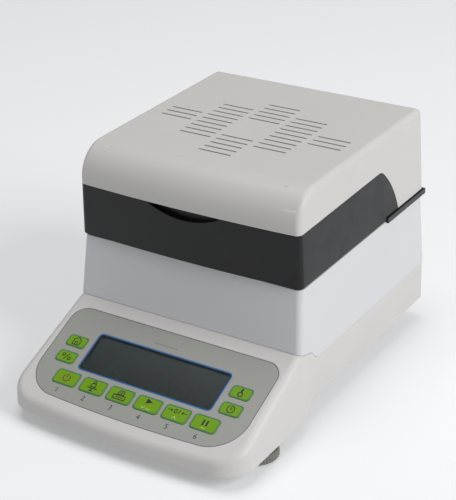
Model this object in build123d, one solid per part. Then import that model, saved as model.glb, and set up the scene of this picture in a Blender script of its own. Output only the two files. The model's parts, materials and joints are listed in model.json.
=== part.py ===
from build123d import *

import math
import os

# Moisture analyzer: a heated lid over a precision balance, with a sloping console in front.
# X points right, Y to the rear and Z up. The origin is on the standing surface, below the middle
# of the outline. All sizes are in millimetres.

# Overall plan
console_depth = 109.0
lid_width = 205.0
lid_length = 203.2
body_setback = 1.2
hinge_overhang = 2.0
connector_reach = 6.0

# Heights
front_clearance = 12.0
rear_clearance = 20.0
base_side_height = 33.5
shoulder_rise = 9.0
joint_rise = 12.4
body_height = 63.5
lid_gap = 2.0
rear_gap = 1.1
lid_height = 73.9
band_height = 43.2

# Walls and clearances
housing_wall = 2.5
lid_wall = 2.5
band_wall = 3.0
parting_gap = 0.35
fit_gap = 0.25
pin_clearance = 0.05
sheet = 1.2

# Console
console_angle = 23.4
skirt_half_width = 109.3
waist_half_width = 105.2
console_draft = 4.0
console_corner_radius = 25.0
nose_bow = 6.0
ridge_radius = 6.5
flare_front = 9.0
flare_rear = 15.0
step_front = 10.0
step_rear = 15.0
overlay_width = 196.0
overlay_length = 88.0
overlay_offset = 11.5
overlay_top_radius = 14.0
overlay_bottom_radius = 30.0
overlay_thickness = 0.6
overlay_recess = 0.7
window_width = 124.2
window_length = 35.6
window_radius = 3.0
window_offset = 49.5
window_thickness = 2.0
window_sink = 0.8

# Keys
key_width = 22.5
key_length = 13.3
key_radius = 3.0
key_pitch = 26.0
key_row_offset = 78.8
side_key_width = 18.0
side_key_length = 11.0
side_key_x = 77.4
side_key_offsets = (45.0, 60.9)
key_proud = 0.5
key_travel = 0.4
key_flange = 1.0
key_flange_thickness = 0.8
board_depth = 7.0
board_thickness = 1.6
switch_size = 6.0

# Upper housing
body_top_half_width = 101.6
body_joint_half_width = 104.7
body_front_lean = 7.9
body_joint_setback = -6.5
body_corner_radius = 5.0
shoulder_front = 4.8
shoulder_rear = 20.0

# Lid
lid_draft = 1.53
lid_bow = 3.2
lid_roll_radius = 27.0
lid_edge_radius = 5.0
frame_front = 137.0
band_end_top = 128.5
band_end_bottom = 157.3
band_top_slope = 1.9
recess_width = 69.0
recess_height = 8.7
recess_depth = 6.0
vent_length = 30.2
vent_width = 1.8
vent_column_pitch = 34.8
vent_row_pitch = 8.07

# Chamber
chamber_centre = 100.6
deck_opening_width = 156.0
deck_opening_length = 146.0
deck_ledge = 6.0
deck_radius = 12.0
well_radius = 64.0
well_depth = 11.0
ring_radius = 52.0
ring_height = 14.0
pan_radius = 45.0
pan_height = 7.0
pan_wall = 0.6
pan_clearance = 9.6
handle_length = 86.0
liner_height = 13.0
glass_radius = 56.0
glass_thickness = 2.0
lamp_radius = 33.0
lamp_tube_radius = 5.0
reflector_height = 24.0
sensor_x = 62.0
sensor_back = 36.0

# Hinge
hinge_radius = 2.25
pin_radius = 1.1
knuckle_length = 9.0
knuckles = 5
hinge_spread = 62.0
hinge_frame_thickness = 4.5
frame_sink = 1.0

# Feet
foot_radius = 16.5
foot_thickness = 6.5
foot_pad_radius = 12.0
foot_pad_thickness = 1.5
foot_stud_radius = 4.0
foot_stud_length = 24.0
foot_teeth = 40
front_foot_x = 92.5
front_foot_y = -51.0
rear_foot_x = 62.0
rear_foot_y = 172.0

# Load cell and boards
plate_thickness = 1.5
cell_width = 22.0
cell_height = 18.0
cell_length = 96.0
cell_lift = 34.0
cell_overhang = 12.0
spindle_radius = 4.0
post_radius = 4.0
screw_radius = 1.4
screw_head_radius = 3.0

# Rear wall connections: x, width, height and corner radius of each opening
connection_rise = 17.0
inlet_opening = (-58.0, 28.0, 21.0, 2.5)
switch_opening = (-22.0, 13.2, 19.4, 1.0)
serial_opening = (48.0, 20.0, 10.0, 2.0)

# Worked out from the sizes above
overall_length = console_depth + lid_length - body_setback + connector_reach
nose_y = -overall_length / 2
lid_y = nose_y + console_depth
lid_rear_y = lid_y + lid_length
body_rear_y = lid_rear_y - body_setback
rear_y = body_rear_y + hinge_overhang
centre_y = lid_y + chamber_centre
joint_y = lid_y + body_joint_setback
side_joint_z = rear_clearance + base_side_height
shoulder_z = side_joint_z + shoulder_rise
joint_z = side_joint_z + joint_rise
body_top_z = side_joint_z + body_height
lid_bottom_z = body_top_z + lid_gap
lid_top_z = lid_bottom_z + lid_height
band_top_z = lid_bottom_z + band_height
lid_half = lid_width / 2
frame_y = lid_y + frame_front
frame_top_z = body_top_z - frame_sink + hinge_frame_thickness
lid_step = frame_top_z + rear_gap - lid_bottom_z
hinge_y = rear_y - hinge_radius
hinge_z = frame_top_z - hinge_radius
deck_z = body_top_z
well_floor_z = deck_z - well_depth
pan_floor_z = well_floor_z + pan_clearance
pan_rim_z = pan_floor_z + pan_height
liner_z = deck_z + liner_height
glass_z = liner_z + sheet
reflector_z = glass_z + glass_thickness
reflector_top_z = reflector_z + reflector_height
plate_z = rear_clearance + plate_thickness
front_plate_z = front_clearance + plate_thickness
connection_z = rear_clearance + connection_rise
cell_z = plate_z + cell_lift
cell_top_z = cell_z + cell_height
top_opening_front = lid_y + 31.0
top_opening_rear = body_rear_y - 10.0
lower = (Align.CENTER, Align.CENTER, Align.MIN)
reach = 600.0


def cylinder(radius, height, x, y, z):
    """Upright cylinder standing at z."""
    return Pos(x, y, z) * Cylinder(radius, height, align=lower)


def block(width, length, height, x, y, z):
    """Box centred on x and y and standing at z."""
    return Pos(x, y, z) * Box(width, length, height, align=lower)


def rounded_block(width, length, height, radius, x, y, z):
    """Box with rounded upright edges, standing at z."""
    return Pos(x, y, z) * extrude(RectangleRounded(width, length, radius), height)


def revolved(points, x=0.0, y=0.0):
    """Solid of revolution about an upright axis, from radius and height pairs."""
    return Pos(x, y, 0) * revolve(Plane.XZ * make_face(Polyline(*points, close=True)), Axis.Z)


def side_prism(points_and_curves, half_width):
    """Solid extruded along X both ways from an outline in Y and Z."""
    return extrude(Plane.YZ * make_face(points_and_curves), half_width, both=True)


def s_curve(start, end):
    """Two tangent arcs from start to end that begin and end along the first axis."""
    middle = ((start[0] + end[0]) / 2, (start[1] + end[1]) / 2)
    way = 1 if end[0] > start[0] else -1
    first = TangentArc(start, middle, tangent=(way, 0))
    second = TangentArc(end, middle, tangent=(-way, 0))
    return first + second


def console_plane(depth=0.0):
    """Plane on the console face, x to the right and y up the slope, sunk by depth."""
    angle = math.radians(console_angle)
    normal = Vector(0, -math.sin(angle), math.cos(angle))
    origin = Vector(0, joint_y, joint_z) - normal * depth
    return Plane(origin=origin, x_dir=(1, 0, 0), z_dir=normal)


def on_console(shape, x, offset, depth):
    """Shape placed on the console, offset down the slope, with its base sunk by depth."""
    return console_plane(depth) * Pos(x, -offset, 0) * shape


def console_outline(inset):
    """Plan of the console skirt: bowed nose, round corners and sides that flare out in front."""
    half = skirt_half_width - inset
    waist = waist_half_width - inset
    nose = nose_y + inset
    corner_y = nose + nose_bow
    start_y = lid_y - flare_front
    end_y = lid_y + flare_rear
    middle = ((half + waist) / 2, (start_y + end_y) / 2)
    side = Line((half, corner_y), (half, start_y))
    side += TangentArc((half, start_y), middle, tangent=(0, 1))
    side += TangentArc((waist, end_y), middle, tangent=(0, -1))
    front = ThreePointArc((-half, corner_y), (0, nose), (half, corner_y))
    back = Line((-waist, end_y), (waist, end_y))
    face = make_face(side + mirror(side, Plane.YZ) + front + back)
    corners = [v for v in face.vertices() if abs(v.Y - corner_y) < 0.01]
    return fillet(corners, console_corner_radius - inset)


def above_floor(lift=0.0):
    """Everything above the stepped underside of the base, raised by lift."""
    ahead = nose_y - console_depth
    behind = rear_y + console_depth
    start = (lid_y - step_front, front_clearance + lift)
    end = (lid_y + step_rear, rear_clearance + lift)
    outline = Polyline(start, (ahead, start[1]), (ahead, reach), (behind, reach), (behind, end[1]), end)
    return side_prism(outline + s_curve(start, end), reach / 2)


def base_profile(inset, lift=0.0):
    """Side profile of the base below the upper housing, open to the floor."""
    top = -inset + lift
    shoulder_start = (lid_y + shoulder_front, shoulder_z + top)
    shoulder_end = (lid_y + shoulder_rear, side_joint_z + top)
    ahead = nose_y - console_depth
    rear = body_rear_y - inset
    joint = (joint_y, joint_z + top)
    outline = Polyline((ahead, 0), (rear, 0), (rear, shoulder_end[1]), shoulder_end)
    outline += s_curve(shoulder_end, shoulder_start)
    outline += Polyline(shoulder_start, joint, (ahead, joint[1]), (ahead, 0))
    return outline


def base_form(inset=0.0):
    """Solid outer form of the console housing, or its hollow when inset by the wall."""
    height = joint_z - front_clearance + joint_rise
    console = Pos(0, 0, front_clearance) * extrude(console_outline(inset), height, taper=console_draft)
    console -= console_plane(inset) * Box(reach, reach, reach, align=lower)
    if not inset:
        face = console.faces().sort_by(Axis.Z)[-1]
        ridge = [e for e in face.edges() if e.center().Y < lid_y]
        console = fillet(ridge, ridge_radius)
    length = body_rear_y - joint_y - inset - 1.0
    waist = waist_half_width - inset
    middle = body_rear_y - inset - length / 2
    rear = rounded_block(2 * waist, length, joint_z, body_corner_radius + 1, 0, middle, 0)
    form = (console + rear) & side_prism(base_profile(inset), reach / 2)
    return form if inset else form & above_floor()


def body_section(z, inset):
    """Plan of the upper housing at height z: its front and sides lean in towards the top."""
    share = (z - joint_z) / (body_top_z - joint_z)
    half = body_joint_half_width + share * (body_top_half_width - body_joint_half_width) - inset
    front = joint_y + share * body_front_lean + inset
    rear = body_rear_y - inset
    return Pos(0, (front + rear) / 2, z) * RectangleRounded(2 * half, rear - front, body_corner_radius)


def body_form(bottom, top, inset=0.0):
    """Leaning box of the upper housing between two heights."""
    return loft([body_section(bottom, inset), body_section(top, inset)], ruled=True)


def lid_form(inset=0.0):
    """Closed outer form of the lid: rolled front, bowed in plan, with leaning sides."""
    half = lid_half - inset
    front = lid_y - lid_bow + inset
    top = lid_top_z - inset
    roll = lid_roll_radius - inset
    lean = math.tan(math.radians(lid_draft)) * (lid_height - roll)
    start = (front + lean, top - roll)
    end = (front + lean + roll, top)
    rear = lid_rear_y + lid_bow + 10
    profile = Line((front, lid_bottom_z), start)
    profile += TangentArc(start, end, tangent=(0, 1))
    profile += Polyline(end, (rear, top), (rear, lid_bottom_z), (front, lid_bottom_z))
    bow_radius = (lid_half**2 + lid_bow**2) / (2 * lid_bow)
    far = lid_y - lid_bow + bow_radius
    spread = 2 * math.degrees(math.asin(lid_half / bow_radius)) + 2
    axis = Axis((0, far, 0), (0, 0, 1))
    curved = revolve(Plane.YZ * make_face(profile), axis, spread)
    curved = curved.rotate(axis, -spread / 2)
    length = lid_length + 2 * lid_roll_radius
    rear_edge = lid_rear_y - inset
    box = Pos(0, rear_edge - length / 2, lid_bottom_z) * extrude(
        Rectangle(2 * half, length), lid_height + 5, taper=lid_draft)
    form = curved & box
    step = lid_bottom_z + lid_step
    form -= block(reach, reach, lid_step, 0, frame_y - 1.5 + reach / 2, lid_bottom_z)
    if not inset:
        edges = [e for e in form.edges() if e.center().Z > step + 0.5]
        edges = [e for e in edges if abs(e.center().X) > half - 4 or e.center().Y > lid_rear_y - 3]
        form = fillet(edges, lid_edge_radius)
    return form


def band_zone(shrink=0.0):
    """Side profile of the dark band, open below, with its rounded rear end."""
    ahead = lid_y - 40
    top = band_top_z - shrink
    corner = (lid_y + band_end_top - shrink, top + band_top_slope)
    end = (lid_y + band_end_bottom - shrink, lid_bottom_z - 1)
    middle = ((corner[0] + end[0]) / 2 + 3.5, (corner[1] + end[1]) / 2 + 3.2)
    outline = Polyline((ahead, top), (lid_y, top), corner)
    outline += ThreePointArc(corner, middle, end)
    outline += Polyline(end, (ahead, end[1]), (ahead, top))
    face = make_face(outline)
    tip = [v for v in face.vertices() if abs(v.X - corner[0]) < 0.01 and abs(v.Y - corner[1]) < 0.01]
    face = fillet(tip, 12.0)
    return extrude(Plane.YZ * face, reach / 2, both=True)


def knuckle_row(first):
    """Hinge knuckles on the hinge axis, every second one from the first."""
    row = Part()
    for centre in (-hinge_spread, hinge_spread):
        for i in range(first, knuckles, 2):
            x = centre + (i - (knuckles - 1) / 2) * knuckle_length
            row += Pos(x, hinge_y, hinge_z) * Rot(0, 90, 0) * Cylinder(hinge_radius, knuckle_length - fit_gap)
    return row


def hinge_bore():
    """Bore of both hinges along the hinge axis."""
    return Pos(0, hinge_y, hinge_z) * Rot(0, 90, 0) * Cylinder(pin_radius + pin_clearance, lid_width)


def key_places():
    """Name, x, offset, width and length of each key."""
    row = ("power", "calibrate", "print", "start", "tare", "stop")
    for i, name in enumerate(row):
        yield name, (i - (len(row) - 1) / 2) * key_pitch, key_row_offset, key_width, key_length
    sides = (("home", -1, 0), ("unit", -1, 1), ("temperature", 1, 0), ("timer", 1, 1))
    for name, side, level in sides:
        yield name, side * side_key_x, side_key_offsets[level], side_key_width, side_key_length


def board_posts():
    """Places of the posts that carry the keypad board, as x and offset."""
    return [(x, offset) for x in (-88.0, 0.0, 88.0) for offset in (window_offset - 25.5, key_row_offset + 12.5)]


def plate_posts():
    """Places of the posts that carry the base plate, as x and y."""
    front = [(x, lid_y - 16.0) for x in (-70.0, 70.0)]
    return front + [(x, y) for x in (-96.0, 96.0) for y in (lid_y + 60.0, lid_y + 186.0)]


def plate_top(y):
    """Height of the base plate's upper face at y, in front of or behind its step."""
    return front_plate_z if y < lid_y - step_front else plate_z


def foot_places():
    """Name, x and y of each foot."""
    for side, sign in (("left", -1), ("right", 1)):
        yield "front_" + side, sign * front_foot_x, lid_y + front_foot_y
        yield "rear_" + side, sign * rear_foot_x, lid_y + rear_foot_y


def rear_opening(opening, depth):
    """Cutter or plug of a rear wall opening, reaching depth forward from the rear face."""
    x, width, height, radius = opening
    shape = extrude(RectangleRounded(width, height, radius), depth)
    return Plane(origin=(x, body_rear_y, connection_z), x_dir=(-1, 0, 0), z_dir=(0, -1, 0)) * shape


def make_base_housing():
    shell = base_form() - base_form(housing_wall)
    opening_length = top_opening_rear - top_opening_front
    opening_middle = (top_opening_rear + top_opening_front) / 2
    shell -= block(2 * waist_half_width - 30, opening_length, joint_z, 0, opening_middle, side_joint_z - 10)
    recess = overlay_shape(overlay_recess, 0.0)
    shell -= on_console(recess, 0, 0, overlay_recess)
    window = extrude(RectangleRounded(window_width, window_length, window_radius), 2 * housing_wall)
    shell -= on_console(window, 0, window_offset, housing_wall + 1)
    for name, x, offset, width, length in key_places():
        hole = extrude(RectangleRounded(width + 2 * fit_gap, length + 2 * fit_gap, key_radius), 2 * housing_wall)
        shell -= on_console(hole, x, offset, housing_wall + 1)
    for x, offset in board_posts():
        post = Cylinder(screw_head_radius, board_depth - housing_wall + 0.2, align=lower)
        shell += on_console(post, x, offset, board_depth)
    inner = base_form(housing_wall / 2)
    for x, y in plate_posts():
        shell += cylinder(post_radius, joint_z, x, y, plate_top(y)) & inner
    for opening in (inlet_opening, switch_opening, serial_opening):
        shell -= rear_opening(opening, 4 * housing_wall)
    return shell


def overlay_shape(thickness, inset):
    """Keypad sheet: tight corners at the top, wide ones and a bowed edge at the bottom."""
    half = overlay_width / 2 - inset
    top = -overlay_offset - inset
    bottom = -overlay_offset - overlay_length + inset
    rise = 4.0
    outline = Polyline((-half, bottom + rise), (-half, top), (half, top), (half, bottom + rise))
    outline += ThreePointArc((-half, bottom + rise), (0, bottom), (half, bottom + rise))
    face = make_face(outline)
    upper = [v for v in face.vertices() if v.Y > top - 1]
    face = fillet(upper, overlay_top_radius)
    below = [v for v in face.vertices() if abs(v.Y - bottom - rise) < 0.01]
    return extrude(fillet(below, overlay_bottom_radius), thickness)


def make_overlay():
    sheet_part = on_console(overlay_shape(overlay_thickness, fit_gap), 0, 0, overlay_recess)
    window = extrude(RectangleRounded(window_width, window_length, window_radius), 3.0)
    sheet_part -= on_console(window, 0, window_offset, 2.0)
    for name, x, offset, width, length in key_places():
        hole = extrude(RectangleRounded(width + 2 * fit_gap, length + 2 * fit_gap, key_radius), 3.0)
        sheet_part -= on_console(hole, x, offset, 2.0)
    return sheet_part


def make_key(x, offset, width, length):
    """Key cap with the flange that keeps it below the console skin."""
    cap_depth = housing_wall + 0.1
    cap = extrude(RectangleRounded(width, length, key_radius), cap_depth + key_proud)
    cap = fillet(cap.faces().sort_by(Axis.Z)[-1].edges(), 0.35)
    flange_outline = RectangleRounded(width + 2 * key_flange, length + 2 * key_flange, key_radius)
    flange = extrude(flange_outline, key_flange_thickness)
    key = Pos(0, 0, key_flange_thickness) * cap + flange
    return on_console(key, x, offset, cap_depth + key_flange_thickness)


def make_window():
    outline = RectangleRounded(window_width - 0.4, window_length - 0.4, window_radius - 0.2)
    lens = extrude(outline, window_thickness)
    return on_console(lens, 0, window_offset, window_sink + window_thickness)


def make_lcd():
    top = window_sink + window_thickness
    glass = Box(window_width + 6, window_length + 6, board_depth - top, align=lower)
    return on_console(glass, 0, window_offset, board_depth)


def make_keypad_board():
    width = 2 * side_key_x + side_key_width + 5
    upper = window_offset - 29.5
    below = key_row_offset + 16.5
    length = below - upper
    middle = (below + upper) / 2
    board = extrude(RectangleRounded(width, length, 3.0), board_thickness)
    return on_console(board, 0, middle, board_depth + board_thickness)


def make_key_switches():
    body_height_above = board_depth - (housing_wall + 0.1 + key_flange_thickness) - key_travel - 0.1
    group = Part()
    for name, x, offset, width, length in key_places():
        switch = Box(switch_size, switch_size, body_height_above - 0.8, align=lower)
        switch += Cylinder(1.7, body_height_above, align=lower)
        group += on_console(switch, x, offset, board_depth)
    return group


def make_body_housing():
    gap = parting_gap
    bottom = side_joint_z + gap
    outer = body_form(bottom, body_top_z)
    inner = body_form(bottom - 5, body_top_z - 3.0, housing_wall)
    shell = outer - inner
    shell -= side_prism(base_profile(0.0, gap), reach / 2)
    shell -= block(reach, reach, 10, 0, frame_y - 0.5 + reach / 2, body_top_z - frame_sink)
    opening = rounded_block(deck_opening_width, deck_opening_length, 20, deck_radius - deck_ledge, 0,
                            centre_y - 4, body_top_z - 10)
    ledge = rounded_block(deck_opening_width + 2 * deck_ledge + 2 * fit_gap,
                          deck_opening_length + 2 * deck_ledge + 2 * fit_gap, 10, deck_radius,
                          0, centre_y - 4, body_top_z - sheet)
    shell -= opening
    shell -= ledge
    return shell


def make_chamber_deck():
    deck = rounded_block(deck_opening_width + 2 * deck_ledge, deck_opening_length + 2 * deck_ledge,
                         sheet, deck_radius, 0, centre_y - 4, deck_z - sheet)
    deck -= cylinder(well_radius - 1, 10, 0, centre_y, deck_z - 5)
    lean = 4.0
    bottom = well_floor_z - sheet
    outline = [
        (10.0, bottom), (well_radius - lean + sheet, bottom), (well_radius + sheet, deck_z - sheet),
        (well_radius + sheet, deck_z), (well_radius, deck_z), (well_radius - lean, well_floor_z),
        (11.2, well_floor_z), (11.2, well_floor_z + 2), (10.0, well_floor_z + 2),
    ]
    deck += revolved(outline, 0, centre_y)
    return deck


def make_draught_ring():
    wall = sheet
    outline = [
        (ring_radius - 3, well_floor_z), (ring_radius + 4, well_floor_z), (ring_radius + 4, well_floor_z + wall),
        (ring_radius, well_floor_z + wall), (ring_radius, well_floor_z + ring_height),
        (ring_radius - wall, well_floor_z + ring_height), (ring_radius - wall, well_floor_z + wall),
        (ring_radius - 3, well_floor_z + wall),
    ]
    return revolved(outline, 0, centre_y)


def make_pan_support():
    """Hub on the spindle with three arms that end in upturned tips."""
    hub_z = pan_floor_z - 3.0
    support = cylinder(8.0, 3.0, 0, centre_y, hub_z)
    for turn in (30, 150, 270):
        arm = Pos(16, 0, 0) * Box(32, 5, 2, align=lower)
        support += Pos(0, centre_y, hub_z) * Rot(0, 0, turn) * arm
        support += Pos(0, centre_y, hub_z) * Rot(0, 0, turn) * Pos(32, 0, 0) * Cylinder(3.5, 3.0, align=lower)
    return support


def make_sample_pan():
    floor = pan_floor_z
    rim = pan_rim_z
    slope = 1.5
    outline = [
        (0, floor), (pan_radius - slope, floor), (pan_radius, rim - pan_wall), (pan_radius + 3, rim - pan_wall),
        (pan_radius + 3, rim), (pan_radius - pan_wall, rim), (pan_radius - slope - pan_wall, floor + pan_wall),
        (0, floor + pan_wall),
    ]
    return revolved(outline, 0, centre_y)


def make_pan_handle():
    """Lifting ring under the pan rim with its long grip towards the front."""
    under = pan_rim_z - pan_wall
    ring = cylinder(pan_radius + 5, 1.0, 0, centre_y, under - 1.0)
    ring -= cylinder(pan_radius + 0.4, 3.0, 0, centre_y, under - 2.0)
    grip_end = centre_y - handle_length
    grip_start = centre_y - pan_radius - 3
    length = grip_start - grip_end
    grip = rounded_block(11.0, length, 1.0, 4.0, 0, (grip_start + grip_end) / 2, under - 1.0)
    grip -= rounded_block(5.0, length - 14, 3.0, 2.4, 0, (grip_start + grip_end) / 2 - 2, under - 2.0)
    return ring + grip


def make_load_cell():
    """Bending beam with the double hole that makes its four thin places."""
    middle_y = centre_y + cell_length / 2 - cell_overhang
    beam = block(cell_width, cell_length, cell_height, 0, middle_y, cell_z)
    for step in (-8, 8):
        beam -= Pos(0, middle_y + step, cell_z + cell_height / 2) * Rot(0, 90, 0) * Cylinder(7.0, 60)
    beam -= block(60, 16, 6, 0, middle_y, cell_z + cell_height / 2 - 3)
    return beam


def make_load_cell_mount():
    """Cast foot that holds the fixed end of the load cell above the base plate."""
    y = centre_y + cell_length - cell_overhang - 15
    mount = rounded_block(60, 44, 5, 4, 0, y, plate_z)
    mount += block(34, 30, cell_z - plate_z, 0, y, plate_z)
    for x in (-24, 24):
        mount -= cylinder(2.2, 20, x, y, plate_z - 5)
    for side in (-1, 1):
        web = extrude(Plane.XZ * make_face(Polyline((17, 5), (28, 5), (17, 24), close=True)), 4, both=True)
        web = web if side > 0 else mirror(web, Plane.YZ)
        mount += Pos(0, y, plate_z) * web
    return mount


def make_spindle():
    return cylinder(spindle_radius, pan_floor_z - 3.0 - cell_top_z, 0, centre_y, cell_top_z)


def make_hinge_frame():
    """Black frame under the rear of the lid, with side arms and the fixed knuckles."""
    z = body_top_z - frame_sink
    width = 2 * (lid_half + 1.2)
    frame = block(width, rear_y - frame_y, hinge_frame_thickness, 0, (rear_y + frame_y) / 2, z)
    deck_width = deck_opening_width + 2 * deck_ledge + 4
    frame -= rounded_block(deck_width, 80, 20, 6, 0, lid_y + 136.5, z - 5)
    notch = 6.0 + hinge_radius
    rows = knuckle_row(0)
    for centre in (-hinge_spread, hinge_spread):
        frame -= block(knuckles * knuckle_length + 0.6, notch, 20, centre, rear_y - notch / 2 + 0.01, z - 5)
        for i in range(0, knuckles, 2):
            x = centre + (i - (knuckles - 1) / 2) * knuckle_length
            rows += block(knuckle_length - fit_gap, notch + 1, 1.6, x, rear_y - 5.5 - hinge_radius, z)
    return frame + (rows - hinge_bore())


def make_hinge_leaves():
    """Moving leaves on the inside of the lid's rear wall, with their knuckles."""
    rows = knuckle_row(1)
    lean = 22.0 * math.tan(math.radians(lid_draft))
    inner = lid_rear_y - lid_wall - lean
    for centre in (-hinge_spread, hinge_spread):
        for i in range(1, knuckles, 2):
            x = centre + (i - (knuckles - 1) / 2) * knuckle_length
            rows += block(knuckle_length - fit_gap, 1.4, 6.0, x, inner - 0.7, hinge_z)
        rows += block(knuckles * knuckle_length, 1.4, 16.0, centre, inner - 0.7, hinge_z + 5.0)
    return rows - hinge_bore()


def make_hinge_pins():
    pins = Part()
    for centre in (-hinge_spread, hinge_spread):
        pins += Pos(centre, hinge_y, hinge_z) * Rot(0, 90, 0) * Cylinder(pin_radius, knuckles * knuckle_length)
    return pins


def vent_rows():
    """Rows of slots in each column of the vent field, by column number."""
    middle = (*range(-7, -2), *range(2, 7))
    return {-2: range(-1, 2), -1: range(-4, 5), 0: middle, 1: range(-4, 5), 2: range(-1, 2)}


def lid_posts():
    """Places of the posts that carry the heater plate, as x and y."""
    return [(x, y) for x in (-80.0, 80.0) for y in (lid_y + 22.0, lid_y + 186.0)]


def make_lid_cover():
    """White cover with the vent slots and the posts that carry the heater plate."""
    length = lid_length - 2 * lid_wall - 8
    mouth = block(2 * (lid_half - lid_wall), length, 10, 0, lid_y + lid_length / 2 + 4, lid_bottom_z - 5)
    shell = lid_form() - lid_form(lid_wall) - mouth - band_zone()
    slot = extrude(SlotOverall(vent_length, vent_width), 4 * lid_wall)
    for column, rows in vent_rows().items():
        for row in rows:
            place = Pos(column * vent_column_pitch, centre_y + row * vent_row_pitch, lid_top_z - 3 * lid_wall)
            shell -= place * slot
    for x, y in lid_posts():
        height = lid_top_z - lid_wall / 2 - glass_z
        shell += cylinder(post_radius, height, x, y, glass_z) - cylinder(screw_radius + 0.1, 12.0, x, y, glass_z)
    return shell


def make_lid_band():
    band = (lid_form() - lid_form(band_wall)) & band_zone(fit_gap)
    pocket = block(recess_width + 10, recess_depth + 4, recess_height + 9, 0, lid_y - lid_bow + 5,
                   band_top_z - recess_height - 9)
    band += (pocket & lid_form()) & band_zone(fit_gap)
    radius = ((recess_width / 2) ** 2 + recess_height**2) / (2 * recess_height)
    scoop = Plane.XZ * Pos(0, band_top_z - recess_height + radius) * Circle(radius)
    cutter = Pos(0, lid_y - lid_bow - 10 + recess_depth, 0) * extrude(scoop, 20)
    return band - Pos(0, 10, 0) * cutter


def make_lid_liner():
    width = 2 * (lid_half - band_wall) - 4
    length = lid_length - 2 * band_wall - 14
    plate = rounded_block(width, length, sheet, 6, 0, lid_y + lid_length / 2, liner_z)
    plate -= cylinder(glass_radius - 4, 10, 0, centre_y, liner_z - 5)
    for x, y in lid_posts():
        plate -= cylinder(1.7, 10, x, y, liner_z - 5)
    plate -= cylinder(2.2, 10, sensor_x, centre_y - sensor_back, liner_z - 5)
    return plate


def make_reflector():
    """Spun dish over the lamp, with a flange that holds the glass down."""
    z = reflector_z
    top = reflector_top_z
    outer = glass_radius + 3
    outline = [
        (outer, z), (outer, z + sheet), (glass_radius - 4, z + sheet), (lamp_radius + 13, z + 14),
        (lamp_radius + 5, top), (8.0, top), (8.0, top - sheet), (lamp_radius + 4.2, top - sheet),
        (lamp_radius + 11.8, z + 14), (glass_radius - 5.2, z),
    ]
    dish = revolved(outline, 0, centre_y)
    for x in (-8, 8):
        dish -= cylinder(4.4, 30, x, centre_y + lamp_radius - 0.6, top - 10)
    return dish


def make_lamp():
    """Ring of quartz tube with its two ends turned up through the reflector."""
    z = reflector_z + 11.0
    ring = Pos(0, centre_y, z) * Torus(lamp_radius, lamp_tube_radius)
    ring -= block(6, 20, 20, 0, centre_y + lamp_radius, z - 10)
    for x in (-8, 8):
        ring += cylinder(4.0, reflector_top_z - z + 4, x, centre_y + lamp_radius - 0.6, z)
    return ring


def make_lamp_sockets():
    sockets = Part()
    for x in (-8, 8):
        socket = block(14, 16, 10, x, centre_y + lamp_radius, reflector_top_z + 1.0)
        sockets += socket - cylinder(4.2, 3.5, x, centre_y + lamp_radius - 0.6, reflector_top_z + 1.0)
    return sockets


def make_lamp_bracket():
    """Steel strap over the reflector that carries the lamp sockets."""
    y = centre_y + lamp_radius
    top = reflector_top_z + 11.0
    span = 2 * glass_radius + 30
    strap = block(span, 14, 1.5, 0, y, top)
    for side in (-1, 1):
        x = side * (span / 2 - 0.75)
        strap += block(1.5, 14, top - glass_z + 0.2, x, y, glass_z)
        strap += block(12, 14, 1.5, side * (span / 2 + 5.25), y, glass_z)
    return strap


def make_lamp_glass():
    return cylinder(glass_radius, glass_thickness, 0, centre_y, glass_z)


def make_sensor():
    """Bent probe through the liner, with its fixing plate above."""
    x = sensor_x
    y = centre_y - sensor_back
    probe = cylinder(2.0, liner_z - deck_z + 12, x, y, deck_z + 4)
    probe += block(16, 10, 1.5, x, y, glass_z)
    return probe


def make_baffle():
    width = 2 * (lid_half - lid_wall) - 12
    length = lid_length - 40
    z = lid_top_z - 22
    plate = rounded_block(width, length, 0.8, 5, 0, centre_y + 4, z)
    for x, y in lid_posts():
        plate -= cylinder(post_radius + pin_clearance, 4, x, y, z - 2)
    return plate


def make_liner_screws():
    group = Part()
    for x, y in lid_posts():
        screw = cylinder(screw_radius, 10, x, y, liner_z)
        screw += cylinder(screw_head_radius, 1.8, x, y, liner_z - 1.8)
        group += screw - block(4.0, 0.9, 0.9, x, y, liner_z - 1.8)
    return group


def make_base_plate():
    """Pressed plate that follows the stepped underside, inside the housing walls."""
    inset = housing_wall + 0.8
    front = lid_y + flare_rear - 1.0
    rear = body_rear_y - inset
    plan = extrude(console_outline(inset), joint_z)
    plan += rounded_block(2 * (waist_half_width - inset), rear - front, joint_z, 0.9, 0, (front + rear) / 2, 0)
    plate = plan & (above_floor() - above_floor(plate_thickness))
    for name, x, y in foot_places():
        plate -= cylinder(foot_stud_radius + pin_clearance, joint_z, x, y, 0)
    for x, y in plate_posts():
        plate -= cylinder(screw_radius + 0.3, joint_z, x, y, 0)
    for row in range(5):
        plate -= block(40, 3, joint_z, 0, lid_y + 28 + 8 * row, 0)
    return plate


def make_base_screws():
    group = Part()
    for x, y in plate_posts():
        under = plate_top(y) - plate_thickness
        screw = cylinder(screw_radius, plate_thickness, x, y, under)
        group += screw + cylinder(screw_head_radius, 1.6, x, y, under - 1.6)
    return group


def make_foot_bushes():
    group = Part()
    for name, x, y in foot_places():
        bush = cylinder(foot_stud_radius + 3.0, 9.0, x, y, plate_top(y))
        group += bush - cylinder(foot_stud_radius + pin_clearance, joint_z, x, y, 0)
    return group


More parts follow.
